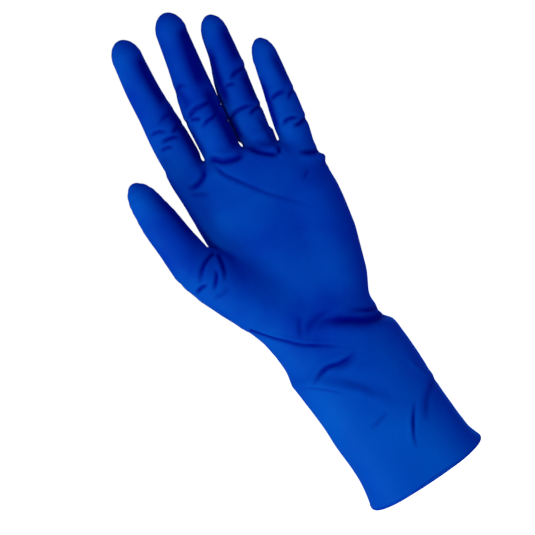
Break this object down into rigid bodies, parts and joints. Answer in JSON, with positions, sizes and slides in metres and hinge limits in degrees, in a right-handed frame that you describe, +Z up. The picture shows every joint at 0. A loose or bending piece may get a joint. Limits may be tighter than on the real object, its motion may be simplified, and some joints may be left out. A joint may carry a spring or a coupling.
{
  "type": "rubber glove",
  "caption": "Long-cuffed dipped rubber glove for a left hand: a hollow cuff with a rolled bead, and a palm, thumb and fingers that bend at the wrist and the knuckles.",
  "frame": {"origin": "middle of the cuff's opening, in the plane of its lower edge", "axes": "+Z up the cuff towards the fingertips, -Y the palm side, +Y the back of the hand, -X the thumb"},
  "size_m": [0.1202, 0.0582, 0.3037],
  "materials": {
    "film": "deep blue natural latex film, satin, darker in its folds and paler where it is stretched",
    "bead": "the same deep blue latex rolled up solid, satin"
  },
  "bodies": {
    "cuff": {"cuff_bead": "bead", "cuff_sleeve": "film"},
    "hand": {"hand": "film"},
    "index_base": {"index_base": "film"},
    "index_middle": {"index_middle": "film"},
    "index_tip": {"index_tip": "film"},
    "middle_base": {"middle_base": "film"},
    "middle_middle": {"middle_middle": "film"},
    "middle_tip": {"middle_tip": "film"},
    "ring_base": {"ring_base": "film"},
    "ring_middle": {"ring_middle": "film"},
    "ring_tip": {"ring_tip": "film"},
    "little_base": {"little_base": "film"},
    "little_middle": {"little_middle": "film"},
    "little_tip": {"little_tip": "film"},
    "thumb_base": {"thumb_base": "film"},
    "thumb_tip": {"thumb_tip": "film"}
  },
  "joints": [
    {"name": "wrist_bend", "type": "hinge", "parent": "cuff", "child": "hand", "pos_m": [-0.001, 0, 0.099], "axis": [1, 0, 0], "range_deg": [-45, 55], "stiffness_Nm_per_rad": 0.15},
    {"name": "index_base_bend", "type": "hinge", "parent": "hand", "child": "index_base", "pos_m": [-0.0168, 0, 0.226], "axis": [0.9969, 0, -0.0785], "range_deg": [-15, 65], "stiffness_Nm_per_rad": 0.012},
    {"name": "index_middle_bend", "type": "hinge", "parent": "index_base", "child": "index_middle", "pos_m": [-0.0153, -0.001, 0.24502], "axis": [0.9925, 0, -0.1219], "range_deg": [0, 80], "stiffness_Nm_per_rad": 0.008},
    {"name": "index_tip_bend", "type": "hinge", "parent": "index_middle", "child": "index_tip", "pos_m": [-0.01208, -0.00378, 0.27127], "axis": [0.989, 0, -0.1478], "range_deg": [0, 40]},
    {"name": "middle_base_bend", "type": "hinge", "parent": "hand", "child": "middle_base", "pos_m": [0.0073, 0, 0.225], "axis": [0.9877, 0, -0.1564], "range_deg": [-15, 65], "stiffness_Nm_per_rad": 0.012},
    {"name": "middle_middle_bend", "type": "hinge", "parent": "middle_base", "child": "middle_middle", "pos_m": [0.01078, -0.00117, 0.24699], "axis": [0.9724, 0, -0.2334], "range_deg": [0, 80], "stiffness_Nm_per_rad": 0.008},
    {"name": "middle_tip_bend", "type": "hinge", "parent": "middle_middle", "child": "middle_tip", "pos_m": [0.01724, -0.00407, 0.27388], "axis": [0.9781, 0, -0.2079], "range_deg": [0, 40]},
    {"name": "ring_base_bend", "type": "hinge", "parent": "hand", "child": "ring_base", "pos_m": [0.0284, 0, 0.217], "axis": [0.9903, 0, -0.1392], "range_deg": [-15, 65], "stiffness_Nm_per_rad": 0.012},
    {"name": "ring_middle_bend", "type": "hinge", "parent": "ring_base", "child": "ring_middle", "pos_m": [0.03122, -0.00106, 0.23708], "axis": [0.9744, 0, -0.225], "range_deg": [0, 80], "stiffness_Nm_per_rad": 0.008},
    {"name": "ring_tip_bend", "type": "hinge", "parent": "ring_middle", "child": "ring_tip", "pos_m": [0.03675, -0.00364, 0.26101], "axis": [0.9799, 0, -0.1994], "range_deg": [0, 40]},
    {"name": "little_base_bend", "type": "hinge", "parent": "hand", "child": "little_base", "pos_m": [0.0478, 0, 0.2105], "axis": [0.9703, 0, -0.2419], "range_deg": [-15, 65], "stiffness_Nm_per_rad": 0.012},
    {"name": "little_middle_bend", "type": "hinge", "parent": "little_base", "child": "little_middle", "pos_m": [0.05171, -0.00085, 0.2262], "axis": [0.9763, 0, -0.2164], "range_deg": [0, 80], "stiffness_Nm_per_rad": 0.008},
    {"name": "little_tip_bend", "type": "hinge", "parent": "little_middle", "child": "little_tip", "pos_m": [0.05537, -0.00263, 0.2427], "axis": [0.9863, 0, -0.165], "range_deg": [0, 40]},
    {"name": "thumb_base_bend", "type": "hinge", "parent": "hand", "child": "thumb_base", "pos_m": [-0.0437, -0.0113, 0.174], "axis": [0.9747, 0.2079, 0.0818], "range_deg": [-15, 35], "stiffness_Nm_per_rad": 0.012},
    {"name": "thumb_tip_bend", "type": "hinge", "parent": "thumb_base", "child": "thumb_tip", "pos_m": [-0.04507, -0.01476, 0.19913], "axis": [0.9741, 0.2079, 0.0887], "range_deg": [0, 55], "stiffness_Nm_per_rad": 0.008}
  ],
  "couplings": [
    {"joint": "index_tip_bend", "follows": "index_middle_bend", "ratio": 0.5},
    {"joint": "middle_tip_bend", "follows": "middle_middle_bend", "ratio": 0.5},
    {"joint": "ring_tip_bend", "follows": "ring_middle_bend", "ratio": 0.5},
    {"joint": "little_tip_bend", "follows": "little_middle_bend", "ratio": 0.5}
  ]
}
